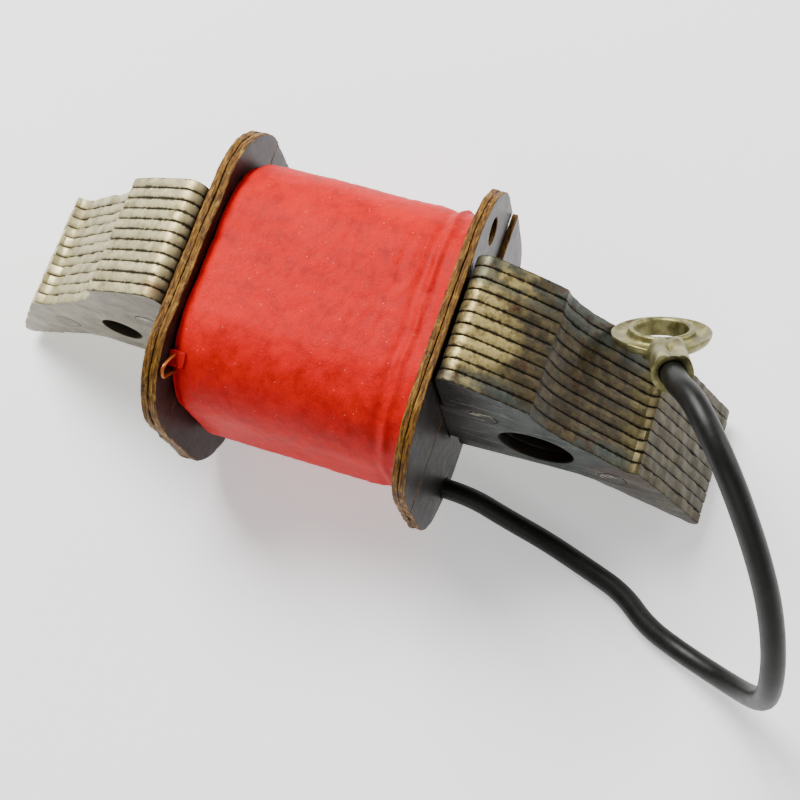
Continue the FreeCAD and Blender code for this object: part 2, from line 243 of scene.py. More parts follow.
def steel_faces():
    """Flat faces of the outer sheets."""
    m = Mat("core_steel_faces", metallic=0.62)
    mid = m.noise(0.5, 5, 0.6)
    fine = m.noise(3.2, 5, 0.7)
    brush = m.noise(1.0, 4, 0.65, m.scaled((0.5, 2.0, 5.0)))
    left = m.ramp(mid, [(0.3, srgb("4a4434")), (0.5, srgb("6b6450")), (0.7, srgb("80785f"))])
    left = m.mix(m.math("MULTIPLY", m.step(m.x, -17.5, -13.0), 0.55), left, srgb("5b5648"))
    right = m.ramp(mid, [(0.3, srgb("1d2321")), (0.5, srgb("353d39")), (0.68, srgb("4b4d44"))])
    dark = m.ramp(mid, [(0.3, srgb("0b0a08")), (0.6, srgb("1c1813"))])
    right = m.mix(m.step(m.math("ADD", m.x, m.math("MULTIPLY", mid, 3.0)), 15.6, 18.6), dark, right)
    tip = m.ramp(mid, [(0.3, srgb("211c12")), (0.55, srgb("3b3424")), (0.75, srgb("4d4630"))])
    right = m.mix(m.step(m.math("ADD", m.x, m.math("MULTIPLY", mid, 4.0)), 27.0, 30.0), right, tip)
    right = m.mix(m.math("MULTIPLY", m.near((26.6, -5.5, 9.8), 2.4, 1.6), 0.5), right, srgb("4a2a1a"))
    col = m.mix(m.step(m.x, -1.0, 1.0), left, right)
    col = m.mix(m.math("MULTIPLY", m.step(fine, 0.60, 0.72), 0.5), col, srgb("3b3024"))
    # scratches
    s = m.step(m.noise(1.0, 2, 0.5, m.scaled((0.25, 1.0, 9.0)), 0.4), 0.66, 0.70)
    col = m.mix(m.math("MULTIPLY", s, 0.45), col, srgb("c9c3ad"))
    m.color(col)
    m.rough(m.math("ADD", 0.30, m.math("MULTIPLY", fine, 0.30)))
    m.bump(brush, 0.03, 0.5)
    m.bump(mid, 0.2, 0.3)
    m.bump(fine, 0.03, 0.4)
    return m.m


def rivet_mat():
    m = Mat("rivet_steel", metallic=0.65)
    n = m.noise(2.5, 4, 0.6)
    col = m.mix(m.step(m.x, -1.0, 1.0), m.ramp(n, [(0.3, srgb("2f2a20")), (0.7, srgb("675f4d"))]),
                m.ramp(n, [(0.3, srgb("12100d")), (0.7, srgb("2c2922"))]))
    s = m.step(m.noise(1.0, 3, 0.6, m.scaled((0.7, 1.0, 3.2)), 0.8), 0.52, 0.60)
    col = m.mix(m.math("MULTIPLY", s, 0.8), col, srgb("a39c88"))
    m.color(col)
    m.rough(m.math("ADD", 0.28, m.math("MULTIPLY", n, 0.3)))
    m.bump(s, 0.10, 0.7)
    m.bump(n, 0.12, 0.6)
    return m.m


def fibre(face):
    m = Mat("fibre_face" if face else "fibre_edge", spec=0.2)
    big = m.noise(0.25, 3)
    mid = m.noise(1.1, 5, 0.65)
    fine = m.noise(6.0, 4, 0.7)
    fib = m.noise(1.0, 4, 0.7, m.scaled((7.0, 0.9, 0.9)), 0.3)
    if face:
        col = m.ramp(mid, [(0.25, srgb("0d0908")), (0.5, srgb("1a1210")), (0.75, srgb("2c211b"))])
        col = m.mix(m.math("MULTIPLY", m.step(big, 0.45, 0.65), 0.3), col, srgb("3b3330"))
        # painted shade: the faces darken towards the bottom
        col = m.mix(m.math("MULTIPLY", m.step(m.z, 16.0, 7.0), 0.6), col, srgb("060505"))
        # worn to pale tan specks
        wear = m.math("MULTIPLY", m.step(fine, 0.66, 0.74), 0.30)
        col = m.mix(wear, col, srgb("7a684e"))
        m.rough(m.math("ADD", 0.26, m.math("MULTIPLY", mid, 0.28)))
        m.bump(fine, 0.03, 0.4)
        m.bump(mid, 0.10, 0.25)
    else:
        col = m.ramp(fib, [(0.25, srgb("1d1005")), (0.42, srgb("46290a")), (0.56, srgb("7a5318")), (0.72, srgb("b38a3a"))])
        col = m.mix(m.math("MULTIPLY", m.step(fine, 0.56, 0.70), 0.65), col, srgb("160b03"))
        col = m.mix(m.math("MULTIPLY", m.step(mid, 0.56, 0.72), 0.45), col, srgb("b9984a"))
        # painted shade: the edges darken towards the bottom
        col = m.mix(m.math("MULTIPLY", m.step(m.z, 15.0, 3.0), 0.45), col, srgb("2a1606"))
        m.rough(m.math("ADD", 0.45, m.math("MULTIPLY", fine, 0.3)))
        m.bump(fib, 0.12, 0.8)
        m.bump(fine, 0.05, 0.6)
    m.color(col)
    return m.m


def tape(name="tape_red", dark=0.0):
    m = Mat(name, spec=0.12)
    big = m.noise(0.18, 3)
    mid = m.noise(0.8, 5, 0.62)
    fine = m.noise(5.0, 4, 0.65)
    weave = m.noise(1.0, 3, 0.6, m.scaled((7.0, 1.6, 1.6)), 0.4)
    wrinkle = m.noise(1.0, 4, 0.65, m.scaled((1.9, 1.2, 1.2)), 1.2)
    col = m.ramp(mid, [(0.25, (0.36, 0.0005, 0.0005)), (0.5, (0.54, 0.001, 0.001)), (0.75, (0.64, 0.003, 0.002))])
    col = m.mix(m.math("MULTIPLY", m.step(big, 0.45, 0.7), 0.4), col, (0.72, 0.006, 0.003))
    col = m.mix(m.math("MULTIPLY", m.step(fine, 0.55, 0.75), 0.55), col, (0.22, 0.0005, 0.0005))
    # painted glints: bright orange-red specks and small pale dots stand in for sparkle on the tape
    col = m.mix(m.math("MULTIPLY", m.step(m.noise(9.0, 2, 0.5, m.scaled((0.5, 1.0, 1.0))), 0.66, 0.74), 0.35), col, (0.95, 0.10, 0.06))
    col = m.mix(m.math("MULTIPLY", m.step(m.voronoi(1.3), 0.05, 0.085, 1.0, 0.0), 0.5), col, srgb("ff8a6a"))
    # painted shade: dark pulls the colour towards deep red, for tape lying in a shaded fold
    if dark:
        col = m.mix(dark, col, srgb("7a0a0a"))
    m.color(col)
    m.rough(m.math("ADD", 0.42, m.math("MULTIPLY", mid, 0.25)))
    m.bump(mid, 0.08, 0.3)
    m.bump(wrinkle, 0.10, 0.45)
    m.bump(weave, 0.04, 0.6)
    m.bump(fine, 0.03, 0.6)
    b = m.b
    b.inputs["Subsurface Weight"].default_value = 0.0
    b.inputs["Sheen Weight"].default_value = 0.0
    return m.m


def pvc(name="lead_pvc"):
    m = Mat(name, spec=0.3)
    mid = m.noise(0.7, 4, 0.6)
    fine = m.noise(7.0, 4, 0.7)
    col = m.ramp(mid, [(0.3, srgb("0a0b08")), (0.6, srgb("12130f")), (0.8, srgb("1d1e18"))])
    dust = m.math("MULTIPLY", m.step(fine, 0.56, 0.72), m.step(m.z, 7.0, 1.5))
    col = m.mix(m.math("MULTIPLY", dust, 0.22), col, srgb("5a574e"))
    col = m.mix(m.math("MULTIPLY", m.step(m.noise(2.2, 3), 0.62, 0.75), 0.06), col, srgb("6a6860"))
    m.color(col)
    m.rough(m.math("ADD", 0.32, m.math("MULTIPLY", mid, 0.22)))
    m.bump(fine, 0.010, 0.5)
    m.bump(mid, 0.10, 0.3)
    return m.m


def tin():
    m = Mat("terminal_tin", metallic=0.8)
    mid = m.noise(0.9, 5, 0.6)
    fine = m.noise(5.0, 4, 0.7)
    col = m.ramp(mid, [(0.28, srgb("4b4627")), (0.5, srgb("7a744a")), (0.68, srgb("a19a6b")), (0.85, srgb("665f3b"))])
    col = m.mix(m.math("MULTIPLY", m.step(fine, 0.60, 0.74), 0.5), col, srgb("5f5836"))
    col = m.mix(m.math("MULTIPLY", m.step(m.noise(0.45, 2), 0.55, 0.7), 0.3), col, srgb("8c8a5c"))
    m.color(col)
    m.rough(m.math("ADD", 0.30, m.math("MULTIPLY", mid, 0.30)))
    m.bump(mid, 0.10, 0.4)
    m.bump(fine, 0.03, 0.5)
    return m.m


def wire_mat(name, a, b, turns=False, metallic=0.75):
    m = Mat(name, metallic=metallic)
    mid = m.noise(1.4, 4, 0.6)
    m.color(m.mix(mid, a, b))
    m.rough(m.math("ADD", 0.22, m.math("MULTIPLY", mid, 0.2)))
    if turns:
        w = m.new("ShaderNodeTexWave")
        w.wave_type = "BANDS"
        w.bands_direction = "X"
        w.inputs["Scale"].default_value = 0.32
        w.inputs["Distortion"].default_value = 0.4
        m.nt.links.new(m.p, w.inputs["Vector"])
        m.bump(w.outputs["Fac"], 0.15, 0.8)
    m.bump(m.noise(6.0, 3), 0.01, 0.4)
    return m.m


def matte(name, a, b, scale=1.0):
    m = Mat(name, spec=0.3)
    mid = m.noise(scale, 5, 0.65)
    fine = m.noise(scale * 6, 4, 0.7)
    col = m.mix(m.step(mid, 0.3, 0.7), a, b)
    col = m.mix(m.math("MULTIPLY", m.step(fine, 0.6, 0.75), 0.4), col, tuple(v * 0.5 for v in a))
    m.color(col)
    m.rough(m.math("ADD", 0.6, m.math("MULTIPLY", mid, 0.25)))
    m.bump(fine, 0.03, 0.5)
    return m.m


def solder_mat():
    m = Mat("solder", metallic=0.9)
    mid = m.noise(2.2, 4, 0.6)
    m.color(m.ramp(mid, [(0.3, srgb("6e6e6c")), (0.6, srgb("a8a8a4")), (0.8, srgb("8b8b87"))]))
    m.rough(m.math("ADD", 0.3, m.math("MULTIPLY", mid, 0.3)))
    m.bump(mid, 0.08, 0.5)
    return m.m


M_EDGE, M_FACE = steel_edges(), steel_faces()
M_RIVET = rivet_mat()
M_FIB_F, M_FIB_E = fibre(True), fibre(False)
M_TAPE = tape()
# the free end gets painted shade of its fold, 0.45 towards deep red
M_FLAP_SHADED = tape("tape_red_flap", 0.45)
M_PVC = pvc()
M_TIN = tin()
M_WIRE = wire_mat("magnet_wire", srgb("8c4a1c"), srgb("c8743a"))
M_WOUND = wire_mat("magnet_wire_turns", srgb("7c3f18"), srgb("b5652f"), turns=True)
M_STRAND = wire_mat("strand_copper", srgb("a8663e"), srgb("d09468"))
M_PRESS = matte("pressboard", srgb("7d6238"), srgb("a5895a"))
M_PAPER = matte("insulation_paper", srgb("b7a678"), srgb("d6c9a0"))
M_SLEEVE = matte("sleeve_varnished", srgb("97803f"), srgb("c3ac69"), 1.5)
M_SOLDER = solder_mat()


# ------------------------------------------------------------------- meshes
def add(name, mesh, mats, body="root", stands_for=None, smooth=True):
    for mt in mats:
        mesh.materials.append(mt)
    o = bpy.data.objects.new(name, mesh)
    bpy.context.scene.collection.objects.link(o)
    if smooth:
        for p in mesh.polygons:
            p.use_smooth = True
    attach(o, body)
    if stands_for:
        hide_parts(stands_for)
    return o


def sharp_by_angle(o, deg):
    mod = o.modifiers.new("edges", "EDGE_SPLIT")
    mod.split_angle = math.radians(deg)
    mod.use_edge_sharp = False


def prism_mesh(contours, half, bevel, place, res=1):
    """Filled outline (mm) extruded by half each way with rolled edges; place maps
    a point (u, v, w) in mm to the row frame in mm."""
    c = bpy.data.curves.new("outline", "CURVE")
    c.dimensions = "2D"
    c.fill_mode = "BOTH"
    c.extrude = half - bevel
    c.bevel_depth = bevel
    c.offset = -bevel
    c.bevel_resolution = res
    for pts in contours:
        s = c.splines.new("POLY")
        s.points.add(len(pts) - 1)
        for i, q in enumerate(pts):
            s.points[i].co = (q[0], q[1], 0, 1)
        s.use_cyclic_u = True
    o = bpy.data.objects.new("outline", c)
    bpy.context.scene.collection.objects.link(o)
    dg = bpy.context.evaluated_depsgraph_get()
    me = bpy.data.meshes.new_from_object(o.evaluated_get(dg))
    bpy.data.objects.remove(o)
    bpy.data.curves.remove(c)
    bm = bmesh.new()
    bm.from_mesh(me)
    bmesh.ops.remove_doubles(bm, verts=bm.verts, dist=1e-4)
    for v in bm.verts:
        v.co = Vector(place(*v.co)) * MM
    bmesh.ops.recalc_face_normals(bm, faces=bm.faces)
    bm.to_mesh(me)
    bm.free()
    return me


def arc_pts(a, m, b, step):
    ax, ay = a; bx, by = m; cx, cy = b
    d = 2 * (ax * (by - cy) + bx * (cy - ay) + cx * (ay - by))
    ux = ((ax**2 + ay**2) * (by - cy) + (bx**2 + by**2) * (cy - ay) + (cx**2 + cy**2) * (ay - by)) / d
    uy = ((ax**2 + ay**2) * (cx - bx) + (bx**2 + by**2) * (ax - cx) + (cx**2 + cy**2) * (bx - ax)) / d
    r = math.hypot(ax - ux, ay - uy)
    t0, t1, t2 = (math.atan2(q[1] - uy, q[0] - ux) for q in (a, m, b))
    def wrap(t, ref):
        while t - ref > math.pi: t -= 2 * math.pi
        while t - ref < -math.pi: t += 2 * math.pi
        return t
    t1 = wrap(t1, t0)
    t2 = wrap(t2, t1)
    n = max(3, int(abs(t2 - t0) * r / step))
    return [(ux + r * math.cos(t0 + (t2 - t0) * i / n), uy + r * math.sin(t0 + (t2 - t0) * i / n)) for i in range(n)]


def line_pts(a, b, step):
    n = max(1, int(math.dist(a, b) / step))
    return [(a[0] + (b[0] - a[0]) * i / n, a[1] + (b[1] - a[1]) * i / n) for i in range(n)]


def arc_z(x):
    return -12.9 + math.sqrt(39.0 ** 2 - x ** 2)


def lamination_outline(step=0.35):
    sh = (13.25, arc_z(13.25))
    kink = (19.5, arc_z(19.5))
    segs = [((0, 16.6), (11.85, 16.6)), ((11.85, 16.6), (11.85, 22.35)),
            ((11.85, 22.35), (12.25, 23.42), sh), (sh, (16.5, arc_z(16.5)), kink),
            (kink, (19.62, 20.25)), ((19.62, 20.25), (20.72, 18.2), (22.4, 16.5)),
            ((22.4, 16.5), (27.2, 12.55)), ((27.2, 12.55), (27.85, 12.42), (28.35, 12.75)),
            ((28.35, 12.75), (31.65, 7.05), (34.12, 2.25)), ((34.12, 2.25), (34.05, 1.45), (33.15, 1.5)),
            ((33.15, 1.5), (25.9, 6.1)), ((25.9, 6.1), (24.3, 6.95), (22.5, 7.25)),
            ((22.5, 7.25), (12.25, 6.0)), ((12.25, 6.0), (12.25, 7.8)), ((12.25, 7.8), (0, 7.8))]
    right = []
    for s in segs:
        right += line_pts(s[0], s[1], step) if len(s) == 2 else arc_pts(*s, step)
    left = [(-x, z) for x, z in reversed(right)]
    pts = right + [(0, 7.8)] + [q for q in left if q[0] < -1e-6]
    return pts


OUTLINE = lamination_outline()


def circle(cx, cy, r, n=56):
    return [(cx + r * math.cos(2 * math.pi * i / n), cy + r * math.sin(2 * math.pi * i / n)) for i in range(n)]


def thin(pts, gap=0.15):
    out = []
    for q in pts:
        if not out or math.dist(q, out[-1]) > gap:
            out.append(q)
    while math.dist(out[0], out[-1]) < gap:
        out.pop()
    return out


def rough_outline(pts, amp, freq, seed, where=None):
    pts = thin(pts)
    out = []
    n = len(pts)
    for i, (x, z) in enumerate(pts):
        x0, z0 = pts[i - 1]
        x1, z1 = pts[(i + 1) % n]
        tx, tz = x1 - x0, z1 - z0
        L = math.hypot(tx, tz) or 1
        k = amp if where is None else amp * where(x, z)
        d = k * noise.noise(Vector((x * freq, z * freq, seed * 7.31)))
        out.append((x + tz / L * d, z - tx / L * d))
    return out


def arm_amount(x, z):
    a = abs(x)
    if a < 12.0:
        return 0.0
    if a < 19.4:
        return 0.5
    return 2.2 if x < 0 else 1.4


for i in range(11):
    y0 = -5.5 + 1.0 * (i + 0.5)
    seed = i + 1
    body = rough_outline(OUTLINE, 0.10, 0.9, seed, arm_amount)
    body = rough_outline(body, 0.05, 2.6, seed + 40, arm_amount)
    dx = 0.05 * noise.noise(Vector((seed * 3.3, 0.5, 0)))
    dz = 0.07 * noise.noise(Vector((seed * 5.1, 9.5, 0)))
    body = [(x + dx, z + dz) for x, z in body]
    cs = [body, circle(-19.6, 11.7, 1.9), circle(19.6, 11.7, 3.3)]
    for rx, rz in ((15.3, 16.4), (26.3, 9.0)):
        for s in (-1, 1):
            cs.append(circle(s * rx, rz, 1.21, 32))
    me = prism_mesh(cs, 0.49, 0.12, lambda u, v, w, y0=y0: (u, y0 - w, v), res=2)
    name = "sheet_%02d" % (i + 1)
    o = add(name, me, [M_EDGE, M_FACE], stands_for="lamination_%02d" % (i + 1))
    for p in me.polygons:
        if abs(p.normal.y) > 0.93:
            p.material_index = 1
    sharp_by_angle(o, 32)

# rivets keep their CAD solids, with softened rims
nodes["core_rivets"].data.materials.clear()
nodes["core_rivets"].data.materials.append(M_RIVET)
bv = nodes["core_rivets"].modifiers.new("rim", "BEVEL")
bv.width = 0.12 * MM
bv.segments = 3
bv.limit_method = "ANGLE"


# ------------------------------------------------------------------- cheeks
def rrect(hy, zlo, zhi, r, step=0.4):
    k = r * (1 - math.sqrt(0.5))
    P = []
    P += line_pts((-hy + r, zhi), (hy - r, zhi), step)
    P += arc_pts((hy - r, zhi), (hy - k, zhi - k), (hy, zhi - r), step)
    P += line_pts((hy, zhi - r), (hy, zlo + r), step)
    P += arc_pts((hy, zlo + r), (hy - k, zlo + k), (hy - r, zlo), step)
    P += line_pts((hy - r, zlo), (-hy + r, zlo), step)
    P += arc_pts((-hy + r, zlo), (-hy + k, zlo + k), (-hy, zlo + r), step)
    P += line_pts((-hy, zlo + r), (-hy, zhi - r), step)
    P += arc_pts((-hy, zhi - r), (-hy + k, zhi - k), (-hy + r, zhi), step)
    return P


def cut_above(P, z, step=0.4):
    """Keeps the part of a closed outline with v >= z."""
    return _clip(P, lambda q: q[1] - z, step)


def cut_below(P, z, step=0.4):
    return _clip(P, lambda q: z - q[1], step)


def _clip(P, f, step):
    out = []
    n = len(P)
    for i in range(n):
        a, b = P[i], P[(i + 1) % n]
        fa, fb = f(a), f(b)
        if fa >= 0:
            out.append(a)
        if (fa > 0 > fb) or (fa < 0 < fb):
            t = fa / (fa - fb)
            out.append((a[0] + (b[0] - a[0]) * t, a[1] + (b[1] - a[1]) * t))
    # refine the long closing run
    fine = []
    n = len(out)
    for i in range(n):
        fine += line_pts(out[i], out[(i + 1) % n], step)
    return fine


def notch(P, z0, z1, half, deep, step=0.4):
    """Cuts the rectangle |u| < half, z0 < v < z1 from the outline it opens on;
    deep is the closed end of the slot."""
    keep = []
    n = len(P)
    inside = [abs(u) < half and z0 < v < z1 for u, v in P]
    start = next(i for i in range(n) if inside[i - 1] and not inside[i])
    run = [P[(start + i) % n] for i in range(n) if not inside[(start + i) % n]]
    a, b = run[0], run[-1]          # the removed run lay between b and a
    edge_v = P[[i for i in range(n) if inside[i]][0]][1]
    sa = half if a[0] > 0 else -half
    sb = half if b[0] > 0 else -half
    path = [(sb, edge_v), (sb, deep), (sa, deep), (sa, edge_v)]
    out = list(run)
    for i in range(len(path) - 1):
        out += line_pts(path[i], path[i + 1], step)
    out.append(path[-1])
    return out


SLOT = 5.58
FULL = rrect(14.2, 0.0, 23.0, 7.5)
NECK_HI, NECK_LO = 16.64, 7.76


def cheek(name, node, contours, x0, t, seed, warp=None, cuts=()):
    cs = [rough_outline(contours[0], 0.16, 0.55, seed), *contours[1:]]
    cs[0] = rough_outline(cs[0], 0.09, 2.4, seed + 20)
    xm = x0 + t / 2
    me = prism_mesh(cs, t / 2, 0.10, lambda u, v, w: (xm + w, u, v), res=2)
    bm = bmesh.new()
    bm.from_mesh(me)
    bm.normal_update()
    for f in bm.faces:
        flat = all(abs(abs(v.co.x / MM - xm) - t / 2) < 0.004 for v in f.verts)
        f.material_index = 0 if flat and len({v.co.x > xm * MM for v in f.verts}) == 1 else 1
    for k in range(-13, 14, 2):
        bmesh.ops.bisect_plane(bm, geom=bm.verts[:] + bm.edges[:] + bm.faces[:], dist=1e-7,
                               plane_co=(0, k * MM, 0), plane_no=(0, 1, 0))
    for k in range(1, 23, 2):
        bmesh.ops.bisect_plane(bm, geom=bm.verts[:] + bm.edges[:] + bm.faces[:], dist=1e-7,
                               plane_co=(0, 0, k * MM), plane_no=(0, 0, 1))
    for v in bm.verts:
        y, z = v.co.y / MM, v.co.z / MM
        d = 0.0
        if warp:
            d += warp(y, z)
        d += 0.035 * noise.noise(Vector((y * 0.16, z * 0.16, seed * 3.7)))
        v.co.x += d * MM
    bm.to_mesh(me)
    bm.free()
    o = add(name, me, [M_FIB_F, M_FIB_E], stands_for=node)
    sharp_by_angle(o, 40)
    return o


def smooth01(t):
    t = max(0.0, min(1.0, t))
    return t * t * (3 - 2 * t)


full_slotted = notch(FULL, -1, NECK_HI, SLOT, NECK_HI)
T, TL = 0.55, 0.65
cheek("left_cheek_board", "left_cheek_full_board", [full_slotted], -10.4 - 2 * TL - 0.08, TL, 1)
cheek("left_cheek_upper", "left_cheek_upper_half",
      [notch(cut_above(FULL, 16.05), -1, NECK_HI, SLOT, NECK_HI)], -10.4 - TL, TL, 2)
cheek("left_cheek_lower", "left_cheek_lower_half",
      [notch(cut_below(FULL, 15.95), NECK_LO, 30, SLOT, NECK_LO)], -10.4 - TL - 0.06, TL, 3)
LEAD_HOLE = circle(-9.0, 2.15, 1.01, 24)
cheek("right_cheek_board", "right_cheek_full_board", [full_slotted, LEAD_HOLE], 10.4, T, 4)
XR = 10.4 + T + 0.05
up = notch(cut_above(FULL, 13.5), -1, NECK_HI, SLOT, NECK_HI)
cheek("right_cheek_upper", "right_cheek_upper_half", [up, circle(9.65, 18.8, 1.2, 32)], XR, T, 5)
cheek("right_cheek_lower", "right_cheek_lower_half",
      [notch(cut_below(FULL, 13.35), NECK_LO, 30, SLOT, NECK_LO), LEAD_HOLE], XR, T, 6,
      warp=lambda y, z: 0.5 * smooth01((y + 3.5) / 7.0))


# --------------------------------------------------------------------- tape
def section(hy, hz, r, n):
    """n points by arc length round the winding: (y, z, ny, nz), about z 12.2."""
    k = [("l", (-hy + r, hz), (hy - r, hz)), ("a", (hy - r, hz - r), 90), ("l", (hy, hz - r), (hy, -hz + r)),
         ("a", (hy - r, -hz + r), 0), ("l", (hy - r, -hz), (-hy + r, -hz)), ("a", (-hy + r, -hz + r), -90),
         ("l", (-hy, -hz + r), (-hy, hz - r)), ("a", (-hy + r, hz - r), 180)]
    lens = [math.dist(s[1], s[2]) if s[0] == "l" else r * math.pi / 2 for s in k]
    total = sum(lens)
    out = []
    for i in range(n):
        d = total * i / n
        j = 0
        while d > lens[j]:
            d -= lens[j]
            j += 1
        s = k[j]
        if s[0] == "l":
            t = d / lens[j]
            y = s[1][0] + (s[2][0] - s[1][0]) * t
            z = s[1][1] + (s[2][1] - s[1][1]) * t
            tx, tz = s[2][0] - s[1][0], s[2][1] - s[1][1]
            L = math.hypot(tx, tz)
            out.append((y, 12.2 + z, -tz / L, tx / L))
        else:
            a = math.radians(s[2]) - d / r
            out.append((s[1][0] + r * math.cos(a), 12.2 + s[1][1] + r * math.sin(a), math.cos(a), math.sin(a)))
    return [(y, z, abs(ny) * (1 if y > 0 else -1), abs(nz) * (1 if z > 12.2 else -1)) for y, z, ny, nz in out], total


def tape_height(s, total, x, y, z):
    """How far the wrap stands off its nominal surface (mm)."""
    n1 = noise.noise(Vector((y * 0.22, z * 0.22, x * 0.30)))
    n2 = noise.noise(Vector((y * 0.9 + 5, z * 0.9, x * 1.3)))
    n3 = noise.noise(Vector((y * 2.4, z * 2.4 + 3, x * 3.1)))
    h = 0.10 * n1 + 0.045 * n2 + 0.018 * n3
    # crease parallel to the right cheek, and the flare beside it
    w = 8.75 + 0.35 * noise.noise(Vector((y * 0.25, z * 0.25, 11.0)))
    h += 0.24 * math.exp(-((x - w) / 0.28) ** 2) * (0.6 + 0.8 * noise.noise(Vector((y * 0.4, z * 0.4, 4.0))))
    h -= 0.16 * math.exp(-((x - w + 0.75) / 0.4) ** 2)
    w2 = 6.6 + 0.9 * noise.noise(Vector((y * 0.16, z * 0.16, 21.0)))
    h += 0.09 * math.exp(-((x - w2) / 0.5) ** 2) * max(0.0, 0.4 + noise.noise(Vector((y * 0.2, z * 0.2, 5.0))))
    h += 0.28 * smooth01((x - 9.3) / 1.0) * (0.7 + 0.6 * noise.noise(Vector((y * 0.5, z * 0.5, 8.0))))
    # the left edge rolls inwards
    h -= 0.50 * smooth01((-9.1 - x) / 1.1) ** 1.5
    # edges of the layers below show through as faint steps
    h += 0.05 * smooth01((x + 8.1 + 0.15 * n2) / 0.25) + 0.04 * smooth01((5.9 - x + 0.2 * n2) / 0.3)
    return h


def tape_mesh():
    N, K = 330, 118
    sec, total = section(11.7, 10.0, 7.3, N)
    x0, x1 = -10.28, 10.3
    verts, faces = [], []
    for j in range(K + 1):
        t = j / K
        x = x0 + (x1 - x0) * t
        for i, (y, z, ny, nz) in enumerate(sec):
            h = tape_height(i / N * total, total, x, y, z)
            edge = 0.10 * noise.noise(Vector((y * 0.8, z * 0.8, 2.0))) * (smooth01((t - 0.97) / 0.03) - smooth01((0.03 - t) / 0.03))
            verts.append(((x + edge) * MM, (y + ny * h) * MM, (z + nz * h) * MM))
    base = len(verts)
    for j in range(K + 1):
        t = j / K
        x = x0 + (x1 - x0) * t
        for i, (y, z, ny, nz) in enumerate(sec):
            verts.append((x * MM, (y - ny * 0.6) * MM, (z - nz * 0.6) * MM))
    for j in range(K):
        for i in range(N):
            a, b = j * N + i, j * N + (i + 1) % N
            c, d = (j + 1) * N + (i + 1) % N, (j + 1) * N + i
            faces.append((a, b, c, d))
            faces.append((base + a, base + d, base + c, base + b))
    for i in range(N):
        a, b = i, (i + 1) % N
        faces.append((a, base + a, base + b, b))
        a, b = K * N + i, K * N + (i + 1) % N
        faces.append((a, b, base + b, base + a))
    me = bpy.data.meshes.new("tape")
    me.from_pydata(verts, [], faces)
    bm = bmesh.new()
    bm.from_mesh(me)
    bmesh.ops.recalc_face_normals(bm, faces=bm.faces)
    bm.to_mesh(me)
    bm.free()
    return me


tp = add("winding_tape", tape_mesh(), [M_TAPE], stands_for="tape_wrap")
sharp_by_angle(tp, 60)


def flap_mesh():
    """Free end of the tape: a small thin sheet lying over the wrap, torn edge."""
    sec, total = section(11.7, 10.0, 7.3, 660)
    band = [q for q in sec if -9.5 < q[0] < -8.3 and q[1] > 17.0]
    band.sort(key=lambda q: q[1])
    rows = [band[int(i * (len(band) - 1) / 26)] for i in range(27)]
    K = 26
    V, F = [], []
    for side in (0.24, 0.03):
        for i, (y, z, ny, nz) in enumerate(rows):
            for j in range(K + 1):
                t = j / K
                x = -10.34 + 1.35 * t
                u = i / (len(rows) - 1)
                lift = side + 0.05 * noise.noise(Vector((x, z, 3.0))) + 0.12 * smooth01((0.35 - t) / 0.35)
                lift += max(-0.12, tape_height(0, total, x, y, z))
                tear = 0.15 * noise.noise(Vector((z * 1.7, 6.0, 1.0))) * smooth01((t - 0.6) / 0.4)
                zj = 0.10 * noise.noise(Vector((x * 1.3, 2.0, 5.0))) * (1 if u > 0.9 else -1 if u < 0.1 else 0)
                V.append(((x + tear) * MM, (y + ny * lift) * MM, (z + nz * lift + zj) * MM))
    R = len(rows)
    base = R * (K + 1)
    for i in range(R - 1):
        for j in range(K):
            a = i * (K + 1) + j
            F.append((a, a + 1, a + K + 2, a + K + 1))
            F.append((base + a, base + a + K + 1, base + a + K + 2, base + a + 1))
    for j in range(K):
        a = j
        F.append((a, base + a, base + a + 1, a + 1))
        a = (R - 1) * (K + 1) + j
        F.append((a, a + 1, base + a + 1, base + a))
    for i in range(R - 1):
        a = i * (K + 1)
        b = a + K + 1
        F.append((a, b, base + b, base + a))
        a += K
        b += K
        F.append((a, base + a, base + b, b))
    me = bpy.data.meshes.new("flap")
    me.from_pydata(V, [], F)
    bm = bmesh.new()
    bm.from_mesh(me)
    bmesh.ops.recalc_face_normals(bm, faces=bm.faces)
    bm.to_mesh(me)
    bm.free()
    return me


add("tape_free_end", flap_mesh(), [M_FLAP_SHADED], stands_for="tape_end_flap")


# --------------------------------------------------------------------- lead
ROUTE = [(11.55, -9.0, 2.15), (14.0, -9.0, 2.15), (17.7, -9.85, 1.35), (21.9, -10.75, 1.02),
         (26.0, -12.05, 1.05), (29.6, -13.2, 1.0), (32.4, -15.45, 1.0), (35.9, -16.75, 1.12),
         (39.65, -18.15, 3.11), (41.88, -19.19, 6.1), (42.75, -19.62, 9.73), (42.59, -19.02, 13.58),
         (41.86, -17.02, 17.19), (40.54, -14.52, 20.45), (38.74, -12.05, 23.42), (36.66, -9.57, 26.06),
         (34.65, -7.31, 28.05), (32.68, -4.96, 28.53), (31.07, -2.88, 27.8),
         (29.541446, -1.495159, 26.161543), (28.962934, 0.112780, 24.175529)]
LEAD_D = 1.9
cu = bpy.data.curves.new("lead", "CURVE")
cu.dimensions = "3D"
sp = cu.splines.new("NURBS")
sp.points.add(len(ROUTE) - 1)
for i, q in enumerate(ROUTE):
    sp.points[i].co = (q[0] * MM, q[1] * MM, q[2] * MM, 1.0)
sp.order_u = 3
sp.use_endpoint_u = True
sp.resolution_u = 12
cu.resolution_u = 12
cu.bevel_depth = LEAD_D / 2 * MM
cu.bevel_resolution = 6
cu.use_fill_caps = True
cu.materials.append(M_PVC)
lead = bpy.data.objects.new("lead_insulation", cu)
bpy.context.scene.collection.objects.link(lead)
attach(lead, "root")
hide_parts("lead_wire")

# ----------------------------------------------------------------- terminal
RC = Vector((27.31, 4.57, 17.58))
TA = Vector((0.220806, -0.613717, 0.758021)).normalized()
TN = Vector((-0.193708, 0.734126, 0.650797))
TN = (TN - TA * TN.dot(TA)).normalized()
TM = TN.cross(TA)


def loc(s, m, n):
    return (RC + TA * s + TM * m + TN * n) * MM


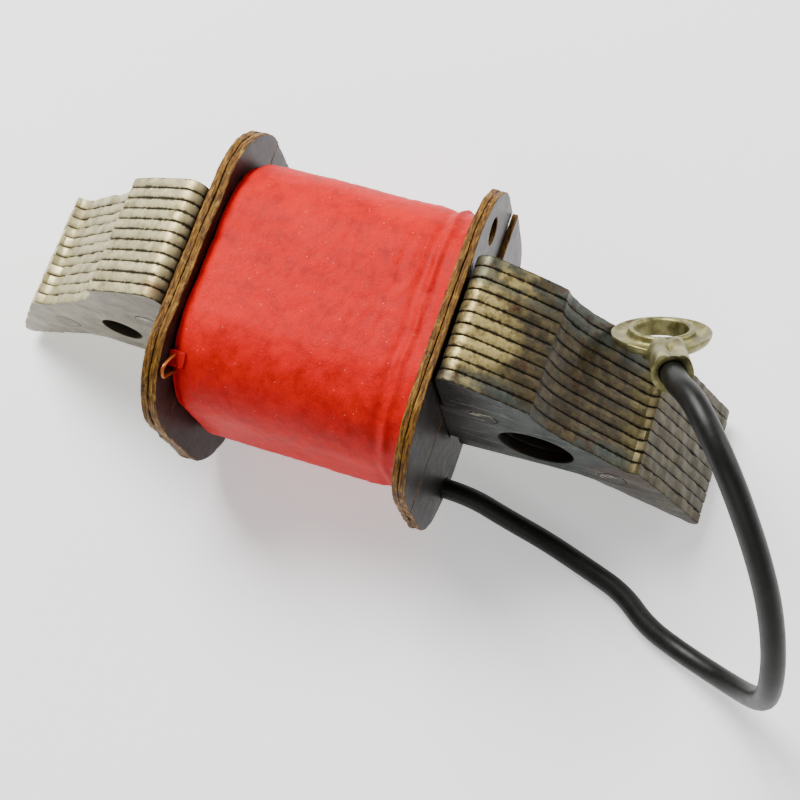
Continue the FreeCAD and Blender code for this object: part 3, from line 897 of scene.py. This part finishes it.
def loft(rings, closed=True, cap_a=True, cap_b=True):
    V, F = [], []
    n = len(rings[0])
    for r in rings:
        V += [tuple(q) for q in r]
    for j in range(len(rings) - 1):
        for i in range(n if closed else n - 1):
            a, b = j * n + i, j * n + (i + 1) % n
            F.append((a, b, b + n, a + n))
    if cap_a:
        F.append(tuple(range(n))[::-1])
    if cap_b:
        F.append(tuple((len(rings) - 1) * n + i for i in range(n)))
    return V, F


def terminal_mesh():
    bm = bmesh.new()

    def put(V, F):
        vs = [bm.verts.new(v) for v in V]
        for f in F:
            bm.faces.new([vs[i] for i in f])

    # eye: a stamped ring with an upturned rim and a rolled eyelet
    prof = [(2.17, -0.38), (2.15, -0.2), (2.15, 0.5), (2.17, 0.92), (2.26, 1.06), (2.42, 1.12), (2.58, 1.07),
            (2.68, 0.94), (2.66, 0.78), (2.72, 0.60), (2.84, 0.46), (3.0, 0.40), (3.25, 0.38), (3.5, 0.41),
            (3.72, 0.50), (3.88, 0.62), (3.98, 0.66), (4.04, 0.60), (4.03, 0.44), (3.96, 0.22), (3.84, 0.02),
            (3.66, -0.14), (3.4, -0.26), (3.0, -0.36), (2.5, -0.40)]
    n = 120
    rings = []
    for r, h in prof:
        ring = []
        for i in range(n):
            a = 2 * math.pi * i / n
            wob = 0.05 * noise.noise(Vector((math.cos(a) * 1.4, math.sin(a) * 1.4, 1.0)))
            lift = 0.12 * smooth01((r - 3.0) / 1.0) * (0.5 + math.sin(a * 1.0 + 0.8))
            # the rim dies into the neck
            back = max(0.0, math.cos(a)) ** 6
            hh = h * (1 - 0.35 * back * smooth01((r - 3.2) / 0.6)) + lift * (1 - back)
            rr = r + wob * smooth01((r - 2.6) / 0.6)
            ring.append(loc(rr * math.cos(a), rr * math.sin(a), hh))
        rings.append(ring)
    V, F = [], []
    for r in rings:
        V += [tuple(q) for q in r]
    P = len(rings)
    for j in range(P):
        for i in range(n):
            a, b = j * n + i, j * n + (i + 1) % n
            c, d = ((j + 1) % P) * n + (i + 1) % n, ((j + 1) % P) * n + i
            F.append((a, b, c, d))
    put(V, F)

    # neck and crimp barrel: a sheet that curls up into two wings folded over
    rings = []
    stations = [2.9, 3.4, 3.9, 4.3, 4.6, 4.85, 5.1, 5.35, 5.6, 5.9, 6.2, 6.5, 6.8, 7.1, 7.4, 7.7, 7.9, 8.1, 8.35,
                8.6, 8.85, 9.05, 9.2, 9.28]
    na = 72
    for s in stations:
        k = smooth01((s - 3.6) / 1.4)          # 0 flat neck, 1 full barrel
        crimp = math.exp(-((s - 6.5) / 0.75) ** 2)
        mouth = smooth01((s - 8.6) / 0.6)
        ring = []
        for i in range(na):
            a = 2 * math.pi * i / na           # 0 at +N, round towards +M
            # flat neck: a rounded slab
            c, sn = math.sin(a), math.cos(a)
            sup = 5.0
            den = (abs(c / 1.75) ** sup + abs(sn / 0.36) ** sup) ** (1 / sup)
            fm, fn = c / den, sn / den
            # barrel: round, with a groove between the wings on the +N side
            R = 1.53 + 0.05 * mouth
            groove = math.exp(-((a if a < math.pi else a - 2 * math.pi) / 0.30) ** 2)
            lobes = math.exp(-((abs(a if a < math.pi else a - 2 * math.pi) - 0.62) / 0.35) ** 2)
            rr = R - (0.42 + 0.25 * crimp) * groove + 0.10 * lobes - 0.12 * crimp
            rr += 0.03 * noise.noise(Vector((s * 2, math.cos(a) * 2, math.sin(a) * 2)))
            bm_, bn_ = rr * c * (1 + 0.07 * crimp), 0.70 + rr * sn * (1 - 0.06 * crimp)
            m_ = fm + (bm_ - fm) * k
            n_ = fn + (bn_ - fn) * k
            ring.append(loc(s, m_, n_))
        rings.append(ring)
    # roll over the mouth and go back inside it
    for s, R in ((9.3, 1.42), (9.28, 1.20), (9.2, 1.04), (8.9, 0.99), (8.4, 0.97)):
        rings.append([loc(s, R * math.sin(2 * math.pi * i / na), 0.70 + R * math.cos(2 * math.pi * i / na))
                      for i in range(na)])
    put(*loft(rings))
    bmesh.ops.recalc_face_normals(bm, faces=bm.faces)
    me = bpy.data.meshes.new("terminal")
    bm.to_mesh(me)
    bm.free()
    return me


term = add("crimp_ring_terminal", terminal_mesh(), [M_TIN], stands_for="ring_terminal")
sharp_by_angle(term, 50)


def strands_mesh():
    bm = bmesh.new()
    for k in range(7):
        rad = 0.0 if k == 0 else 0.36
        rings = []
        for j in range(25):
            s = 5.2 + 2.9 * j / 24
            ph = k * math.pi / 3 + 0.9 * (s - 5.2)
            cm, cn = rad * math.cos(ph), rad * math.sin(ph)
            rings.append([loc(s, cm + 0.17 * math.cos(q * math.pi / 5), 0.7 + cn + 0.17 * math.sin(q * math.pi / 5))
                          for q in range(10)])
        V, F = loft(rings)
        vs = [bm.verts.new(v) for v in V]
        for f in F:
            bm.faces.new([vs[i] for i in f])
    bmesh.ops.recalc_face_normals(bm, faces=bm.faces)
    me = bpy.data.meshes.new("strands")
    bm.to_mesh(me)
    bm.free()
    return me


strands = add("conductor_strands", strands_mesh(), [M_STRAND], stands_for="lead_conductor")

# ------------------------------------------------------ carried-over solids
for name, mt in (("core_insulation", M_PRESS), ("copper_winding", M_WOUND), ("winding_paper", M_PAPER),
                 ("start_wire", M_WIRE), ("earth_solder", M_SOLDER), ("lead_inner_stub", M_PVC),
                 ("lead_solder_joint", M_SOLDER), ("finish_wire", M_WIRE), ("joint_sleeve", M_SLEEVE)):
    o = nodes[name]
    o.data.materials.clear()
    o.data.materials.append(mt)

# -------------------------------------------------------------------- stage
fl = bpy.data.meshes.new("floor")
fl.from_pydata([(-2, -2, 0), (2, -2, 0), (2, 2, 0), (-2, 2, 0)], [], [(0, 1, 2, 3)])
floor = bpy.data.objects.new("floor", fl)
bpy.context.scene.collection.objects.link(floor)
mf = Mat("floor_pale", spec=0.1)
mf.color(mf.mix(mf.noise(0.01, 2), (0.95, 0.95, 0.95), (0.96, 0.96, 0.96)))
mf.rough(0.9)
mf.b.inputs["Emission Color"].default_value = (1, 1, 1, 1)
mf.b.inputs["Emission Strength"].default_value = 0.50
fl.materials.append(mf.m)

world = bpy.data.worlds.new("studio")
bpy.context.scene.world = world
world.use_nodes = True
bg = world.node_tree.nodes["Background"]
bg.inputs[0].default_value = (1.0, 0.99, 0.97, 1)
bg.inputs[1].default_value = 0.24


def area(name, loc_, target, size, power, col=(1, 1, 1)):
    l = bpy.data.lights.new(name, "AREA")
    l.shape = "RECTANGLE"
    l.size, l.size_y = size
    l.energy = power
    l.color = col
    o = bpy.data.objects.new(name, l)
    bpy.context.scene.collection.objects.link(o)
    o.location = loc_
    d = Vector(target) - Vector(loc_)
    o.rotation_euler = d.to_track_quat("-Z", "Y").to_euler()
    return o


area("key", (-0.15, 0.17, 0.32), (0, 0, 0.01), (0.20, 0.20), 3.2)
area("fill", (0.10, -0.34, 0.26), (0.01, 0, 0.01), (0.30, 0.20), 0.35)
area("rim", (0.34, 0.22, 0.16), (0.01, 0, 0.01), (0.20, 0.20), 0.8)

cam_d = bpy.data.cameras.new("camera")
cam_d.lens = 59.13
cam_d.sensor_width = 36.0
cam_d.clip_start = 0.001
cam_d.clip_end = 10.0
cam = bpy.data.objects.new("camera", cam_d)
bpy.context.scene.collection.objects.link(cam)
R3 = Matrix(((0.93695265, -0.26774902, 0.22456668), (0.32177793, 0.91167169, -0.25556545),
             (-0.13630369, 0.31171332, 0.94034893)))
cam.matrix_world = Matrix.Translation((0.0326936, -0.0337924, 0.1188224)) @ R3.to_4x4()
bpy.context.scene.camera = cam
